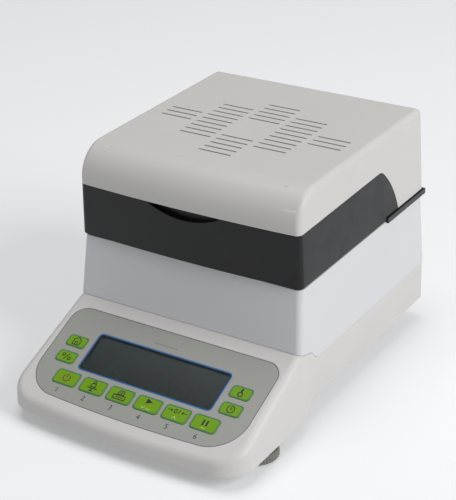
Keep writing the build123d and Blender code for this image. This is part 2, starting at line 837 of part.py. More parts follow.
def make_foot_wheel(x, y):
    """Knurled levelling wheel with its stud."""
    points = []
    for i in range(2 * foot_teeth):
        radius = foot_radius if i % 2 else foot_radius - 0.8
        angle = math.pi * i / foot_teeth
        points.append((radius * math.cos(angle), radius * math.sin(angle)))
    wheel = extrude(make_face(Polyline(*points, close=True)), foot_thickness)
    dome = Cylinder(foot_radius, foot_thickness, align=lower)
    dome = chamfer(dome.faces().sort_by(Axis.Z)[-1].edges(), 0.8)
    wheel = wheel & dome
    wheel += Cylinder(foot_stud_radius, foot_thickness + foot_stud_length, align=lower)
    return Pos(x, y, foot_pad_thickness) * wheel


def make_foot_pad(x, y):
    return cylinder(foot_pad_radius, foot_pad_thickness, x, y, 0)


def make_main_board():
    """Main circuit board on four spacers, with its tallest parts."""
    x = -62.0
    y = lid_y + 104.0
    z = plate_z + 6.0
    board = block(58, 92, 1.6, x, y, z)
    for dx in (-25, 25):
        for dy in (-42, 42):
            board += cylinder(3.0, 6.0, x + dx, y + dy, plate_z)
    board += block(20, 18, 14, x - 12, y + 26, z)
    board += block(16, 22, 4, x + 12, y - 4, z)
    board += block(30, 7, 9, x, y - 38, z)
    for dx in (-18, -4, 10):
        board += cylinder(4.0, 12, x + dx, y - 22, z)
    return board


def make_power_module():
    """Enclosed mains supply with fins."""
    x = 62.0
    y = lid_y + 104.0
    module = block(52, 84, 26, x, y, plate_z)
    for i in range(9):
        module -= block(60, 3, 8, x, y - 36 + 9 * i, plate_z + 20)
    return module


def make_power_inlet():
    """Mains inlet with a hollow socket and three contact blades."""
    x, width, height, radius = inlet_opening
    flange = extrude(RectangleRounded(width + 8, height + 4, 3.0), 2.0)
    shell_part = extrude(RectangleRounded(width - 0.4, height - 0.4, radius), -20.0)
    cavity = Pos(0, 0, 2.0) * extrude(RectangleRounded(width - 4.0, height - 4.5, radius), -18.0)
    inlet = flange + shell_part - cavity
    for dx, dy in ((-7, -1.5), (0, 2.5), (7, -1.5)):
        inlet += Pos(dx, dy, -16.0) * Box(2.0, 4.0, 9.0, align=lower)
    return rear_plane(x) * inlet


def rear_plane(x):
    """Plane on the rear face, facing backwards."""
    return Plane(origin=(x, body_rear_y, connection_z), x_dir=(-1, 0, 0), z_dir=(0, 1, 0))


def make_switch_frame():
    x, width, height, radius = switch_opening
    frame = extrude(RectangleRounded(width + 4, height + 3, 1.5), 1.6)
    frame += extrude(RectangleRounded(width - 0.4, height - 0.4, radius), -14.0)
    frame -= Pos(0, 0, 1.6) * extrude(Rectangle(width - 3.0, height - 3.0), -13.0)
    return rear_plane(x) * frame


def make_rocker():
    """Rocker with its two faces at a shallow angle, tilted to the off position."""
    x, width, height, radius = switch_opening
    half = height / 2 - 2.2
    outline = Polyline((-half, 1.2), (0, -0.6), (half, 1.2), (half, -3.4), (0, -6.4), (-half, -3.4), close=True)
    rocker = extrude(Plane.YZ * make_face(outline), (width - 3.6) / 2, both=True)
    return rear_plane(x) * Pos(0, 0, 1.0) * Rot(8, 0, 0) * rocker


def make_serial_port():
    """Nine-way connector with its metal shell and two hexagon posts."""
    x, width, height, radius = serial_opening
    port = extrude(RectangleRounded(width + 12, height + 3, 1.5), 1.0)
    port += extrude(RectangleRounded(width - 0.4, height - 0.4, radius), -10.0)
    port += extrude(RectangleRounded(width - 3, height - 1.6, radius), connector_reach)
    for side in (-1, 1):
        port += Pos(side * 12.5, 0, 0) * extrude(RegularPolygon(2.6, 6), 5.0)
    for count, dy in ((5, 1.4), (4, -1.4)):
        for i in range(count):
            port -= Pos((i - (count - 1) / 2) * 2.76, dy, 4.0) * Cylinder(0.6, 5.0, align=lower)
    return rear_plane(x) * port


def make_buffers():
    group = Part()
    for x in (-94.0, 94.0):
        group += cylinder(3.0, lid_gap - 0.3, x, lid_y + 7.5, body_top_z)
    return group


def make_level():
    """Round level: a cup with its domed glass."""
    x = -72.0
    y = centre_y - 68.0
    return cylinder(6.5, 4.0, x, y, deck_z) - cylinder(5.3, 3.0, x, y, deck_z + 3.4)


parts = {
    "base_housing": make_base_housing(),
    "keypad_overlay": make_overlay(),
    "display_window": make_window(),
    "lcd_module": make_lcd(),
    "keypad_board": make_keypad_board(),
    "key_switches": make_key_switches(),
    "base_plate": make_base_plate(),
    "base_screws": make_base_screws(),
    "foot_bushes": make_foot_bushes(),
    "main_board": make_main_board(),
    "power_module": make_power_module(),
    "load_cell": make_load_cell(),
    "load_cell_mount": make_load_cell_mount(),
    "pan_spindle": make_spindle(),
    "pan_support": make_pan_support(),
    "sample_pan": make_sample_pan(),
    "pan_handle": make_pan_handle(),
    "body_housing": make_body_housing(),
    "chamber_deck": make_chamber_deck(),
    "draught_ring": make_draught_ring(),
    "bubble_level": make_level(),
    "lid_buffers": make_buffers(),
    "hinge_frame": make_hinge_frame(),
    "hinge_leaves": make_hinge_leaves(),
    "hinge_pins": make_hinge_pins(),
    "power_inlet": make_power_inlet(),
    "switch_frame": make_switch_frame(),
    "switch_rocker": make_rocker(),
    "serial_port": make_serial_port(),
    "lid_cover": make_lid_cover(),
    "lid_band": make_lid_band(),
    "lid_liner": make_lid_liner(),
    "liner_screws": make_liner_screws(),
    "reflector": make_reflector(),
    "halogen_lamp": make_lamp(),
    "lamp_sockets": make_lamp_sockets(),
    "lamp_bracket": make_lamp_bracket(),
    "lamp_glass": make_lamp_glass(),
    "temperature_sensor": make_sensor(),
    "heat_baffle": make_baffle(),
}
for name, x, offset, width, length in key_places():
    parts["key_" + name] = make_key(x, offset, width, length)
for name, x, y in foot_places():
    parts["foot_wheel_" + name] = make_foot_wheel(x, y)
    parts["foot_pad_" + name] = make_foot_pad(x, y)

os.makedirs("parts", exist_ok=True)
for name, shape in parts.items():
    export_step(shape, "parts/" + name + ".step")
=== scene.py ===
import json
import math

import bmesh
import bpy
from mathutils import Matrix, Vector


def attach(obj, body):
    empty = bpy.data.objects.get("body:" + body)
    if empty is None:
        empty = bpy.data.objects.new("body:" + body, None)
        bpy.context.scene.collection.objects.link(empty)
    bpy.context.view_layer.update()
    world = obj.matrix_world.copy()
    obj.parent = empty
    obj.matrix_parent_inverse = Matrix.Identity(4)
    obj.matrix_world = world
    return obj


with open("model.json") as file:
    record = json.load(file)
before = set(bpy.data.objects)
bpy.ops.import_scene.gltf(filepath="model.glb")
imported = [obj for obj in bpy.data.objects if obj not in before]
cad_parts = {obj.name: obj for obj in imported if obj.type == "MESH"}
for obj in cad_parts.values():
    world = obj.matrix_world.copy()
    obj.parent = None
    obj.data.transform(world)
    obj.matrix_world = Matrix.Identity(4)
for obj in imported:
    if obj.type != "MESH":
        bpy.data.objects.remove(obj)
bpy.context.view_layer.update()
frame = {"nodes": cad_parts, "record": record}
nodes = frame["nodes"]
MM = 0.001

# Camera of the photograph, in the frame's axes and in metres
CAMERA_PLACE = (0.593426, -0.872860, 0.639944)
CAMERA_AZIMUTH = math.radians(33.9730)
CAMERA_ELEVATION = math.radians(26.8641)
CAMERA_ROLL = math.radians(-2.3721)
FOCAL_PIXELS = 1474.04
PHOTO_HEIGHT = 500.0
SENSOR_WIDTH = 36.0
CAMERA_REACH = 60.0

# Console face of the solids, in millimetres: heights count from the face and offsets down its slope
CONSOLE_ANGLE = math.radians(23.4)
CONSOLE_TOP = (0.0, -56.0, 65.9)
OVERLAY_TOP = -0.1
OVERLAY_HALF = 98.0
OVERLAY_TOP_EDGE = 11.5
OVERLAY_BOTTOM_EDGE = 99.5
OVERLAY_BOW = 4.0
OVERLAY_RADII = (14.0, 30.0)
WINDOW = (124.2, 35.6, 3.0)
WINDOW_OFFSET = 49.5
WINDOW_TOP = -0.8
KEY_TOP = 0.5
KEY_RADIUS = 3.0
KEY_SIZE = (22.5, 13.3)
KEY_PITCH = 26.0
ROW_OFFSET = 78.8
SIDE_KEY_SIZE = (18.0, 11.0)
SIDE_KEY_X = 77.4
SIDE_KEY_OFFSETS = (45.0, 60.9)

# Print on the console, in millimetres
LAYER_STEP = 0.004
KEY_PRINT_THICKNESS = 0.05
KEY_PRINT_SINK = 0.01
KEY_LINE_INSET = 0.25
KEY_LINE_WIDTH = 0.75
ICON_SCALE = 1.25
OVERLAY_PRINT_SINK = 0.005
BORDER_THICKNESS = 0.04
BORDER_WIDTH = 1.0
# Band of painted shade inside the display opening
DISPLAY_EDGE_HEIGHT = 0.55
DISPLAY_EDGE_GAP = 0.05
DISPLAY_EDGE_INSET = 0.75
DISPLAY_EDGE_INNER_RADIUS = 2.4
RULE_THICKNESS = 0.03
OUTLINE_INSET = 0.5
OUTLINE_WIDTH = 0.4
RULE_ENDS = (-14.1, 7.8)
RULE_OFFSET = 25.3
RULE_WIDTH = 0.35
NUMBER_PLACES = (-67.0, -41.0, -14.8, 11.4, 37.3, 63.4)
NUMBER_OFFSET = 91.2
NUMBER_SIZE = 6.4
NUMBER_HALF_THICKNESS = 0.02
NUMBER_LIFT = 0.015

# Black strip on the rim of the upper housing, which darkens the gap below the lid, in millimetres
GAP_STRIP_HALF = 99.6
GAP_STRIP_FRONT = -46.1
GAP_STRIP_REAR = 86.0
GAP_STRIP_CORNER = 3.0
GAP_STRIP_FOOT = 117.02
GAP_STRIP_HEIGHT = 1.62
GAP_STRIP_WIDTH = 1.6

# Studio, in metres
FLOOR_RADIUS = 14.0
GLOW_START = 1.2
GLOW_END = 4.5
GLOW_NEAR = 0.22
GLOW_FAR = 0.8
AMBIENT_STRENGTH = 0.31
BACKDROP_STRENGTH = 0.95
LIGHT_TARGET = (0.0, 0.0, 0.1)

# Colour sockets of the mix node, whose names are shared with its other kinds of value
MIX_FIRST = 6
MIX_SECOND = 7
MIX_RESULT = 2


def linear(red, green, blue):
    """Colour given as it looks, 0 to 255, as the linear colour that a shader takes."""
    def one(value):
        value /= 255.0
        return value / 12.92 if value <= 0.04045 else ((value + 0.055) / 1.055) ** 2.4
    return (one(red), one(green), one(blue), 1.0)


def shaded(colour, factor):
    """Colour made lighter or darker by a factor."""
    return (colour[0] * factor, colour[1] * factor, colour[2] * factor, 1.0)


def set_inputs(node, values):
    """Give a node's inputs fixed values, by name."""
    for name, value in values.items():
        node.inputs[name].default_value = value


class Surface:
    """A material in the making, with the few nodes that every finish here uses."""

    def __init__(self, name, stretch=(1, 1, 1)):
        self.material = bpy.data.materials.new(name)
        self.material.use_nodes = True
        tree = self.material.node_tree
        self.nodes = tree.nodes
        self.links = tree.links
        self.shader = tree.nodes["Principled BSDF"]
        place = self.nodes.new("ShaderNodeTexCoord")
        self.mapping = self.nodes.new("ShaderNodeMapping")
        self.mapping.inputs["Scale"].default_value = stretch
        self.links.new(place.outputs["Object"], self.mapping.inputs["Vector"])

    def noise(self, scale, detail=3.0, roughness=0.55):
        """Noise over the object, 0 to 1."""
        node = self.nodes.new("ShaderNodeTexNoise")
        set_inputs(node, {"Scale": scale, "Detail": detail, "Roughness": roughness})
        self.links.new(self.mapping.outputs["Vector"], node.inputs["Vector"])
        return node.outputs["Fac"]

    def fit(self, value, low=0.0, high=1.0, start=0.3, end=0.7):
        """Value spread from start and end to low and high."""
        node = self.nodes.new("ShaderNodeMapRange")
        set_inputs(node, {"From Min": start, "From Max": end, "To Min": low, "To Max": high})
        self.links.new(value, node.inputs["Value"])
        return node.outputs["Result"]

    def mix(self, factor, first, second):
        """Mix of two colours, each a fixed colour or another node's output."""
        node = self.nodes.new("ShaderNodeMix")
        node.data_type = "RGBA"
        self.links.new(factor, node.inputs[0])
        for socket, colour in ((node.inputs[MIX_FIRST], first), (node.inputs[MIX_SECOND], second)):
            if isinstance(colour, bpy.types.NodeSocket):
                self.links.new(colour, socket)
            else:
                socket.default_value = colour
        return node.outputs[MIX_RESULT]

    def bump(self, height, distance):
        """Relief of the given depth in metres."""
        node = self.nodes.new("ShaderNodeBump")
        set_inputs(node, {"Strength": 1.0, "Distance": distance})
        self.links.new(height, node.inputs["Height"])
        self.links.new(node.outputs["Normal"], self.shader.inputs["Normal"])

    def colour(self, value):
        self.links.new(value, self.shader.inputs["Base Color"])

    def roughness(self, value):
        self.links.new(value, self.shader.inputs["Roughness"])


def moulded(name, colour, rough, grain=1400.0, bump=0.00004, vary=0.03, coat=0.0, shine=0.5):
    """Moulded plastic: fine spark texture, slight clouding and uneven gloss."""
    s = Surface(name)
    cloud = s.fit(s.noise(scale=9.0))
    fine = s.noise(grain, detail=2.0)
    clouded = s.mix(cloud, shaded(colour, 1 - vary), shaded(colour, 1 + vary))
    s.colour(s.mix(s.fit(fine), clouded, shaded(colour, 1 - 0.5 * vary)))
    s.roughness(s.fit(s.noise(scale=60.0), rough - 0.05, rough + 0.06))
    s.bump(fine, bump)
    set_inputs(s.shader, {"IOR": 1.49, "Specular IOR Level": shine, "Coat Weight": coat,
                          "Coat Roughness": 0.2})
    return s.material


def metal(name, colour, rough, stretch=(1, 1, 1), grain=300.0, bump=0.00002, vary=0.06):
    """Metal with a brushed or turned grain along one direction."""
    s = Surface(name, stretch)
    fine = s.noise(grain, detail=4.0, roughness=0.65)
    worn = s.mix(s.fit(s.noise(scale=12.0)), shaded(colour, 1 - vary), colour)
    s.colour(s.mix(s.fit(fine), worn, shaded(colour, 1 - 1.5 * vary)))
    s.roughness(s.fit(fine, rough - 0.08, rough + 0.1))
    s.bump(fine, bump)
    s.shader.inputs["Metallic"].default_value = 1.0
    return s.material


def clear(name, colour, ior):
    """Clear acrylic, glass or quartz with faint wipe marks in its gloss."""
    s = Surface(name)
    s.colour(s.mix(s.fit(s.noise(scale=30.0)), colour, shaded(colour, 0.97)))
    s.roughness(s.fit(s.noise(scale=45.0, detail=5.0), low=0.02, high=0.07))
    set_inputs(s.shader, {"Transmission Weight": 1.0, "IOR": ior})
    return s.material


def rubber(name, colour):
    """Dull rubber with a fine grain and paler patches."""
    s = Surface(name)
    grain = s.noise(scale=900.0)
    s.colour(s.mix(s.fit(s.noise(scale=80.0)), colour, shaded(colour, 1.5)))
    s.roughness(s.fit(grain, low=0.65, high=0.85))
    s.bump(grain, distance=0.00006)
    return s.material


def liquid_crystal(name):
    """Unlit display: dark grey green with its faint field of cells."""
    s = Surface(name)
    base = linear(40, 58, 56)
    cell = 0.0016
    cells = s.nodes.new("ShaderNodeTexBrick")
    cells.offset = 0.0
    set_inputs(cells, {
        "Scale": 1.0, "Brick Width": cell, "Row Height": cell, "Mortar Size": 0.00008,
        "Color1": base, "Color2": shaded(base, 0.96), "Mortar": shaded(base, 0.88),
    })
    s.links.new(s.mapping.outputs["Vector"], cells.inputs["Vector"])
    s.colour(s.mix(s.fit(s.noise(scale=25.0), high=0.35), cells.outputs["Color"], shaded(base, 0.85)))
    s.roughness(s.fit(s.noise(scale=70.0), low=0.28, high=0.36))
    s.bump(s.noise(scale=700.0), distance=0.00001)
    return s.material


def circuit(name):
    """Green solder mask with paler tracks."""
    s = Surface(name)
    tracks = s.nodes.new("ShaderNodeTexVoronoi")
    tracks.feature = "DISTANCE_TO_EDGE"
    tracks.inputs["Scale"].default_value = 140.0
    s.links.new(s.mapping.outputs["Vector"], tracks.inputs["Vector"])
    line = s.fit(tracks.outputs["Distance"], low=1.0, high=0.0, start=0.03, end=0.08)
    s.colour(s.mix(line, linear(20, 92, 52), linear(58, 132, 84)))
    s.roughness(s.fit(s.noise(scale=200.0), low=0.25, high=0.45))
    s.bump(line, distance=0.00003)
    return s.material


def printed(name, colour):
    """Screen-printed ink with its slightly uneven density."""
    s = Surface(name)
    s.colour(s.mix(s.fit(s.noise(scale=1800.0)), colour, shaded(colour, 0.86)))
    s.roughness(s.fit(s.noise(scale=400.0), low=0.4, high=0.55))
    s.bump(s.noise(scale=2500.0), distance=0.000008)
    return s.material


FINISH = {
    "base_white": moulded("base_white", linear(219, 216, 214), rough=0.42),
    "body_white": moulded("body_white", linear(222, 223, 226), rough=0.38),
    "lid_white": moulded("lid_white", linear(214, 212, 208), rough=0.42),
    "dark_plastic": moulded("dark_plastic", linear(24, 24, 26), rough=0.37, vary=0.06, shine=0.33),
    "overlay_grey": moulded("overlay_grey", linear(164, 165, 159), rough=0.36, grain=2200.0,
                            bump=0.000015),
    "window_clear": clear("window_clear", (0.93, 0.97, 0.96, 1.0), ior=1.49),
    "lcd_glass": liquid_crystal("lcd_glass"),
    "key_green": moulded("key_green", linear(118, 166, 2), rough=0.42, grain=2000.0, bump=0.00002,
                         vary=0.05, shine=0.3),
    "board_green": circuit("board_green"),
    "black_plastic": moulded("black_plastic", linear(34, 34, 36), rough=0.4, vary=0.08),
    "steel": metal("steel", linear(190, 190, 188), rough=0.3, stretch=(1, 30, 30)),
    "mirror_steel": metal("mirror_steel", linear(226, 226, 224), rough=0.12, stretch=(1, 1, 8),
                          grain=200.0, bump=0.00001),
    "screw_steel": metal("screw_steel", linear(178, 178, 180), rough=0.3, grain=500.0),
    "chrome": metal("chrome", linear(205, 205, 208), rough=0.14, grain=250.0, bump=0.000008),
    "brass": metal("brass", linear(204, 168, 92), rough=0.25),
    "aluminium": metal("aluminium", linear(214, 215, 216), rough=0.26, stretch=(1, 30, 1), grain=260.0),
    "cast_aluminium": metal("cast_aluminium", linear(176, 178, 180), rough=0.5, grain=220.0, bump=0.0001),
    "foot_grey": moulded("foot_grey", linear(132, 132, 124), rough=0.5, grain=1000.0, vary=0.07),
    "rubber": rubber("rubber", linear(40, 40, 40)),
    "quartz": clear("quartz", (0.97, 0.98, 0.97, 1.0), ior=1.46),
    "ceramic": moulded("ceramic", linear(226, 222, 212), rough=0.55, grain=700.0, vary=0.05),
    "level_green": moulded("level_green", linear(188, 214, 96), rough=0.12, vary=0.05, coat=0.6),
}
INK_DARK = printed("ink_dark", linear(22, 26, 18))
INK_RED = printed("ink_red", linear(120, 58, 14))
INK_PALE = printed("ink_pale", linear(186, 214, 112))
INK_TEAL = printed("ink_teal", linear(40, 124, 96))
INK_BLUE = printed("ink_blue", linear(24, 112, 184))
# Navy for the band inside the display opening, a painted shade
PAINTED_SHADE_NAVY = printed("painted_shade_navy", linear(14, 46, 78))
INK_GREY = printed("ink_grey", linear(40, 42, 46))
INK_RULE = printed("ink_rule", linear(104, 104, 100))

slots = {part["node"]: part["material_slot"] for part in frame["record"]["subparts"]}
for node, obj in nodes.items():
    obj.data.materials.clear()
    obj.data.materials.append(FINISH[slots[node]])


def add_object(name, data):
    """New object in the scene."""
    obj = bpy.data.objects.new(name, data)
    bpy.context.scene.collection.objects.link(obj)
    return obj


def console_place(x, offset, height):
    """Matrix of a spot on the console face, all in millimetres, with its Y up the slope."""
    up = Vector((0, math.cos(CONSOLE_ANGLE), math.sin(CONSOLE_ANGLE)))
    out = Vector((0, -math.sin(CONSOLE_ANGLE), math.cos(CONSOLE_ANGLE)))
    spot = (Vector(CONSOLE_TOP) - offset * up + height * out + Vector((x, 0, 0))) * MM
    turn = Matrix(((1, 0, 0), up, out)).transposed()
    return Matrix.Translation(spot) @ turn.to_4x4() @ Matrix.Scale(MM, 4)


def key_places():
    """Name, x, offset, width and length of each key."""
    row = ("power", "calibrate", "print", "start", "tare", "stop")
    for i, name in enumerate(row):
        yield name, (i - (len(row) - 1) / 2) * KEY_PITCH, ROW_OFFSET, *KEY_SIZE
    sides = (("home", -1, 0), ("unit", -1, 1), ("temperature", 1, 0), ("timer", 1, 1))
    for name, side, level in sides:
        yield name, side * SIDE_KEY_X, SIDE_KEY_OFFSETS[level], *SIDE_KEY_SIZE


def rounded(width, length, radius, steps=6):
    """Outline of a rounded rectangle, counter-clockwise."""
    points = []
    for quarter, (sx, sy) in enumerate(((1, 1), (-1, 1), (-1, -1), (1, -1))):
        for i in range(steps + 1):
            angle = math.pi / 2 * (quarter + i / steps)
            points.append((sx * (width / 2 - radius) + radius * math.cos(angle),
                           sy * (length / 2 - radius) + radius * math.sin(angle)))
    return points


def inset_rounded(width, length, radius, inset):
    """Outline of a rounded rectangle, moved in on every side."""
    return rounded(width - 2 * inset, length - 2 * inset, radius - inset)


def circle(x, y, radius, steps, start=0.0, sweep=360.0):
    """Points on a circle or, with a smaller sweep, on an arc."""
    count = steps if sweep >= 360 else steps + 1
    turn = [math.radians(start + sweep * i / steps) for i in range(count)]
    return [(x + radius * math.cos(a), y + radius * math.sin(a)) for a in turn]


class Print:
    """Flat shapes, most of them print, gathered into one thin mesh."""

    def __init__(self, thickness):
        self.mesh = bmesh.new()
        self.thickness = thickness
        self.layer = 0
        self.zoom = 1.0
        self.materials = []

    def _slot(self, material):
        """Number of a material in this mesh."""
        if material not in self.materials:
            self.materials.append(material)
        return self.materials.index(material)

    def _next_top(self):
        """Height of the next shape, a little above the one before."""
        top = self.thickness + LAYER_STEP * self.layer
        self.layer += 1
        return top

    def _zoomed(self, points):
        return [(self.zoom * x, self.zoom * y) for x, y in points]

    def _rows(self, right, left, top):
        """Four rows of points round the section of a ribbon."""
        section = ((right, 0.0), (right, top), (left, top), (left, 0.0))
        return [[self.mesh.verts.new((x, y, height)) for x, y in side] for side, height in section]

    def _skin(self, rows, i, j, slot):
        """Four faces of a ribbon from its points at i to those at j."""
        for a, b in ((0, 1), (1, 2), (2, 3), (3, 0)):
            face = self.mesh.faces.new((rows[a][i], rows[a][j], rows[b][j], rows[b][i]))
            face.material_index = slot

    def band(self, outer, inner, material):
        """Closed ribbon between two outlines with as many points."""
        rows = self._rows(outer, inner, self._next_top())
        slot = self._slot(material)
        count = len(outer)
        for i in range(count):
            self._skin(rows, i, (i + 1) % count, slot)

    def fill(self, outline, material):
        """Filled shape with a convex outline."""
        top = self._next_top()
        slot = self._slot(material)
        outline = self._zoomed(outline)
        upper = [self.mesh.verts.new((x, y, top)) for x, y in outline]
        lower = [self.mesh.verts.new((x, y, 0.0)) for x, y in outline]
        faces = [self.mesh.faces.new(upper), self.mesh.faces.new(lower[::-1])]
        for i in range(len(outline)):
            j = (i + 1) % len(outline)
            faces.append(self.mesh.faces.new((lower[i], lower[j], upper[j], upper[i])))
        for face in faces:
            face.material_index = slot

    def line(self, points, width, material, closed=False):
        """Ribbon along a line, with mitred corners whose length is limited."""
        least_cosine = 0.5
        count = len(points)
        points = self._zoomed(points)
        width *= self.zoom
        left, right = [], []
        for i, (x, y) in enumerate(points):
            before = points[i - 1] if closed or i > 0 else None
            after = points[(i + 1) % count] if closed or i < count - 1 else None
            ways = []
            for a, b in ((before, (x, y)), ((x, y), after)):
                if a and b:
                    ways.append(Vector((b[0] - a[0], b[1] - a[1])).normalized())
            way = (ways[0] + ways[-1]).normalized()
            stretch = 1.0 / max(least_cosine, way.dot(ways[0]))
            normal = Vector((-way.y, way.x)) * width / 2 * stretch
            left.append((x + normal.x, y + normal.y))
            right.append((x - normal.x, y - normal.y))
        if closed:
            self.band(right, left, material)
            return
        rows = self._rows(right, left, self._next_top())
        slot = self._slot(material)
        for i in range(count - 1):
            self._skin(rows, i, i + 1, slot)
        for i in (0, count - 1):
            face = self.mesh.faces.new([row[i] for row in rows])
            face.material_index = slot

    def piece(self, name, matrix, body):
        """The finished object, in place and riding on a body."""
        data = bpy.data.meshes.new(name)
        bmesh.ops.recalc_face_normals(self.mesh, faces=self.mesh.faces)
        self.mesh.transform(matrix)
        self.mesh.to_mesh(data)
        self.mesh.free()
        for material in self.materials:
            data.materials.append(material)
        obj = add_object(name, data)
        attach(obj, body)


# Key symbols, in millimetres about the middle of the key and before ICON_SCALE
def arrow(p, x, y, way, length, material):
    """Small arrow that starts at x and y and points left or right."""
    tip = x + way * length
    p.line([(x, y), (tip - way * 0.8, y)], 0.5, material)
    p.fill([(tip, y), (tip - way * 1.3, y + 0.95), (tip - way * 1.3, y - 0.95)], material)


def icon_power(p):
    p.line(circle(0, 0, 2.5, 24, 125, 290), 0.75, INK_RED)
    p.line([(0, 3.1), (0, 0.4)], 0.75, INK_RED)


def icon_calibrate(p):
    p.line([(-1.9, -0.4), (-1.3, 2.0), (1.3, 2.0), (1.9, -0.4)], 0.6, INK_DARK, closed=True)
    p.line(circle(0, 3.1, 0.9, 14), 0.5, INK_DARK, closed=True)
    p.line([(-3.8, -1.5), (3.8, -1.5)], 0.7, INK_DARK)
    p.line([(0, -1.5), (0, -3.6)], 0.7, INK_DARK)
    p.fill([(0, -2.2), (-1.6, -3.8), (1.6, -3.8)], INK_DARK)


def icon_print(p):
    p.line([(-2.2, 0.5), (-1.5, 3.3), (1.9, 3.3), (2.2, 0.5)], 0.55, INK_DARK, closed=True)
    p.line([(-0.9, 2.3), (1.2, 2.3)], 0.4, INK_DARK)
    p.line([(-1.0, 1.4), (1.3, 1.4)], 0.4, INK_DARK)
    p.line([(-4.2, -0.2), (4.2, -0.2), (4.2, -3.0), (-4.2, -3.0)], 0.65, INK_DARK, closed=True)
    p.line([(-2.6, -1.6), (2.6, -1.6)], 0.5, INK_DARK)


def icon_start(p):
    p.fill([(-1.9, 0.2), (2.6, 2.1), (-1.9, 4.0)], INK_DARK)
    p.line([(-3.4, -2.2), (-2.3, -3.3), (-1.0, -1.9)], 0.5, INK_PALE)
    p.line([(0.2, -3.1), (3.2, -3.1)], 0.6, INK_PALE)


def icon_tare(p):
    arrow(p, -6.6, 1.8, 1, 3.6, INK_DARK)
    arrow(p, 6.6, 1.8, -1, 3.6, INK_DARK)
    zero = [(0.85 * x, 1.8 + 1.35 * y) for x, y in circle(0, 0, 1.0, 20)]
    p.line([(x - 1.2, y) for x, y in zero], 0.5, INK_DARK, closed=True)
    p.line([(0.9, 0.5), (1.7, 3.1)], 0.5, INK_DARK)
    p.line([(-1.4, -3.6), (0.0, -1.9), (1.4, -3.6)], 0.55, INK_PALE)


def icon_stop(p):
    p.fill([(-1.9, -1.6), (-0.7, -1.6), (-0.7, 2.4), (-1.9, 2.4)], INK_DARK)
    p.fill([(0.7, -1.6), (1.9, -1.6), (1.9, 2.4), (0.7, 2.4)], INK_DARK)
    p.line([(-1.2, -3.3), (1.4, -3.3)], 0.6, INK_PALE)


def icon_home(p):
    p.line([(-2.6, -2.7), (-2.6, 1.1), (0.0, 3.1), (2.6, 1.1), (2.6, -2.7)], 0.6, INK_DARK, closed=True)
    p.line([(-0.8, -2.5), (-0.8, -0.3), (0.8, -0.3), (0.8, -2.5)], 0.5, INK_DARK)


def icon_unit(p):
    p.line(circle(-2.5, 1.0, 1.0, 14), 0.6, INK_DARK, closed=True)
    p.line(circle(2.5, -1.0, 1.0, 14), 0.6, INK_DARK, closed=True)
    p.line([(-1.3, -2.4), (1.3, 2.4)], 0.6, INK_DARK)


def icon_temperature(p):
    p.line([(0, 0.2), (0, 3.0)], 1.3, INK_DARK)
    p.line(circle(0, -1.2, 1.5, 18), 0.75, INK_DARK, closed=True)


def icon_timer(p):
    p.line(circle(0, 0, 2.5, 26), 0.6, INK_DARK, closed=True)
    p.line([(0, 1.6), (0, 0), (1.4, 0)], 0.5, INK_DARK)


ICONS = {
    "power": icon_power, "calibrate": icon_calibrate, "print": icon_print, "start": icon_start,
    "tare": icon_tare, "stop": icon_stop, "home": icon_home, "unit": icon_unit,
    "temperature": icon_temperature, "timer": icon_timer,
}
for name, x, offset, width, length in key_places():
    shape = Print(KEY_PRINT_THICKNESS)
    outer = inset_rounded(width, length, KEY_RADIUS, KEY_LINE_INSET)
    inner = inset_rounded(width, length, KEY_RADIUS, KEY_LINE_INSET + KEY_LINE_WIDTH)
    shape.band(outer, inner, INK_TEAL)
    shape.zoom = ICON_SCALE
    ICONS[name](shape)
    place = console_place(x, offset, KEY_TOP - KEY_PRINT_SINK)
    shape.piece("print_" + name, place, "key_" + name)

# Blue printed frame round the display opening
shape = Print(BORDER_THICKNESS)
shape.band(inset_rounded(*WINDOW, -BORDER_WIDTH), rounded(*WINDOW), INK_BLUE)
place = console_place(0, WINDOW_OFFSET, OVERLAY_TOP - OVERLAY_PRINT_SINK)
shape.piece("display_border", place, "base")

# Navy band inside the display opening: painted shade of the opening's wall
shape = Print(DISPLAY_EDGE_HEIGHT)
width, length, radius = WINDOW
outer = rounded(width - 2 * DISPLAY_EDGE_GAP, length - 2 * DISPLAY_EDGE_GAP, radius)
inner = rounded(width - 2 * DISPLAY_EDGE_INSET, length - 2 * DISPLAY_EDGE_INSET, DISPLAY_EDGE_INNER_RADIUS)
shape.band(outer, inner, PAINTED_SHADE_NAVY)
shape.piece("display_painted_shade", console_place(0, WINDOW_OFFSET, WINDOW_TOP), "base")


def overlay_edge(inset):
    """Outline of the overlay, as x and distance up the slope, moved in from its edge."""
    half = OVERLAY_HALF
    upper, lower = OVERLAY_RADII
    bow_radius = (half**2 + OVERLAY_BOW**2) / (2 * OVERLAY_BOW)
    bow_centre = OVERLAY_BOTTOM_EDGE - bow_radius
    x = half - lower
    offset = bow_centre + math.sqrt((bow_radius - lower) ** 2 - x**2)
    sweep = math.degrees(math.atan2(offset - bow_centre, x))
    points = circle(half - upper, -OVERLAY_TOP_EDGE - upper, upper - inset, 12, 90, -90)
    points += circle(x, -offset, lower - inset, 18, 0, -sweep)
    points += circle(0, -bow_centre, bow_radius - inset, 10, -sweep, sweep - 90)[1:-1]
    return points + [(-x, y) for x, y in reversed(points)]


# Printed line round the edge of the overlay
shape = Print(RULE_THICKNESS)
shape.line(overlay_edge(OUTLINE_INSET), OUTLINE_WIDTH, INK_RULE, closed=True)
place = console_place(0, 0, OVERLAY_TOP - OVERLAY_PRINT_SINK)
shape.piece("overlay_outline", place, "base")

# Thin rule above the display
shape = Print(RULE_THICKNESS)
shape.line([(x, 0) for x in RULE_ENDS], RULE_WIDTH, INK_RULE)
place = console_place(0, RULE_OFFSET, OVERLAY_TOP - OVERLAY_PRINT_SINK)
shape.piece("overlay_rule", place, "base")


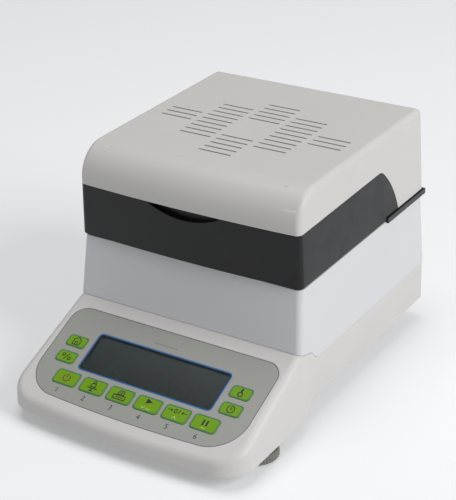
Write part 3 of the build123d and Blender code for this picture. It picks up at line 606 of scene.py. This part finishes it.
def numeral(text, x):
    """Printed number on the overlay, below the key row."""
    curve = bpy.data.curves.new("number_" + text, "FONT")
    curve.body = text
    curve.size = NUMBER_SIZE
    curve.extrude = NUMBER_HALF_THICKNESS
    curve.align_x = "CENTER"
    curve.align_y = "CENTER"
    source = add_object("number_source", curve)
    bpy.context.view_layer.update()
    data = bpy.data.meshes.new_from_object(source.evaluated_get(bpy.context.evaluated_depsgraph_get()))
    bpy.data.objects.remove(source)
    data.transform(console_place(x, NUMBER_OFFSET, OVERLAY_TOP + NUMBER_LIFT))
    data.materials.clear()
    data.materials.append(INK_GREY)
    obj = add_object("number_" + text, data)
    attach(obj, "base")


for i, x in enumerate(NUMBER_PLACES):
    numeral(str(i + 1), x)

# Black strip on the rim of the upper housing, which darkens the gap below the lid
shape = Print(GAP_STRIP_HEIGHT)
gap_strip_path = [(GAP_STRIP_HALF, GAP_STRIP_REAR)]
gap_strip_path += circle(GAP_STRIP_HALF - GAP_STRIP_CORNER, GAP_STRIP_FRONT + GAP_STRIP_CORNER, GAP_STRIP_CORNER, 8, 0, -90)
gap_strip_path += [(-x, y) for x, y in reversed(gap_strip_path)]
shape.line(gap_strip_path, GAP_STRIP_WIDTH, FINISH["rubber"])
place = Matrix.Translation((0, 0, GAP_STRIP_FOOT * MM)) @ Matrix.Scale(MM, 4)
shape.piece("lid_gap_strip", place, "base")


def seen_directly(tree):
    """Value 1 for camera, glossy and transmission rays."""
    path = tree.nodes.new("ShaderNodeLightPath")
    value = path.outputs["Is Camera Ray"]
    for name in ("Is Glossy Ray", "Is Transmission Ray"):
        node = tree.nodes.new("ShaderNodeMath")
        node.operation = "MAXIMUM"
        tree.links.new(value, node.inputs[0])
        tree.links.new(path.outputs[name], node.inputs[1])
        value = node.outputs[0]
    return value


def floor_paper():
    """White paper that glows more with distance, so that it ends in the backdrop's brightness."""
    material = bpy.data.materials.new("floor_paper")
    material.use_nodes = True
    tree = material.node_tree
    paper = tree.nodes["Principled BSDF"]
    set_inputs(paper, {"Base Color": (0.8, 0.81, 0.82, 1.0), "Roughness": 0.9,
                       "Specular IOR Level": 0.1, "Emission Color": (1.0, 1.0, 1.0, 1.0)})
    spot = tree.nodes.new("ShaderNodeTexCoord")
    away = tree.nodes.new("ShaderNodeVectorMath")
    away.operation = "LENGTH"
    tree.links.new(spot.outputs["Object"], away.inputs[0])
    glow = tree.nodes.new("ShaderNodeMapRange")
    glow.interpolation_type = "SMOOTHSTEP"
    set_inputs(glow, {"From Min": GLOW_START, "From Max": GLOW_END,
                      "To Min": GLOW_NEAR, "To Max": GLOW_FAR})
    tree.links.new(away.outputs["Value"], glow.inputs["Value"])
    strength = tree.nodes.new("ShaderNodeMath")
    strength.operation = "MULTIPLY"
    tree.links.new(seen_directly(tree), strength.inputs[0])
    tree.links.new(glow.outputs["Result"], strength.inputs[1])
    tree.links.new(strength.outputs[0], paper.inputs["Emission Strength"])
    return material


# Floor
floor_mesh = bpy.data.meshes.new("floor")
disc = bmesh.new()
bmesh.ops.create_circle(disc, cap_ends=True, segments=96, radius=FLOOR_RADIUS)
disc.to_mesh(floor_mesh)
disc.free()
floor_mesh.materials.append(floor_paper())
floor = add_object("floor", floor_mesh)

# World: an even ambient light, and a brighter backdrop that only the camera sees
world = bpy.data.worlds.new("studio")
bpy.context.scene.world = world
world.use_nodes = True
tree = world.node_tree
ambient = tree.nodes["Background"]
set_inputs(ambient, {"Color": (0.97, 0.98, 1.0, 1.0), "Strength": AMBIENT_STRENGTH})
backdrop = tree.nodes.new("ShaderNodeBackground")
set_inputs(backdrop, {"Color": (0.93, 0.96, 1.0, 1.0), "Strength": BACKDROP_STRENGTH})
choose = tree.nodes.new("ShaderNodeMixShader")
path = tree.nodes.new("ShaderNodeLightPath")
tree.links.new(path.outputs["Is Camera Ray"], choose.inputs[0])
tree.links.new(ambient.outputs[0], choose.inputs[1])
tree.links.new(backdrop.outputs[0], choose.inputs[2])
tree.links.new(choose.outputs[0], tree.nodes["World Output"].inputs["Surface"])


def soft_light(name, place, size, power):
    """Round area light that faces the object, in metres and watts."""
    light = bpy.data.lights.new(name, "AREA")
    light.shape = "DISK"
    light.size = size
    light.energy = power
    obj = add_object(name, light)
    obj.location = place
    obj.rotation_euler = (Vector(LIGHT_TARGET) - Vector(place)).to_track_quat("-Z", "Y").to_euler()


soft_light("key_light", place=(2.3, -0.06, 1.6), size=1.5, power=39.0)
soft_light("top_light", place=(-0.3, 0.2, 2.6), size=1.8, power=19.5)

# Camera, turned so that its Z points back from the object
camera_data = bpy.data.cameras.new("camera")
camera_data.sensor_fit = "AUTO"
camera_data.sensor_width = SENSOR_WIDTH
camera_data.lens = FOCAL_PIXELS / PHOTO_HEIGHT * SENSOR_WIDTH
camera_data.clip_end = CAMERA_REACH
camera = add_object("camera", camera_data)
bpy.context.scene.camera = camera
back = Vector((math.sin(CAMERA_AZIMUTH) * math.cos(CAMERA_ELEVATION),
               -math.cos(CAMERA_AZIMUTH) * math.cos(CAMERA_ELEVATION), math.sin(CAMERA_ELEVATION)))
level_right = Vector((0, 0, 1)).cross(back).normalized()
level_up = back.cross(level_right)
right = math.cos(CAMERA_ROLL) * level_right + math.sin(CAMERA_ROLL) * level_up
up = math.cos(CAMERA_ROLL) * level_up - math.sin(CAMERA_ROLL) * level_right
turn = Matrix((right, up, back)).transposed()
camera.matrix_world = Matrix.Translation(CAMERA_PLACE) @ turn.to_4x4()

bpy.context.scene.view_settings.view_transform = "Standard"
bpy.context.view_layer.update()
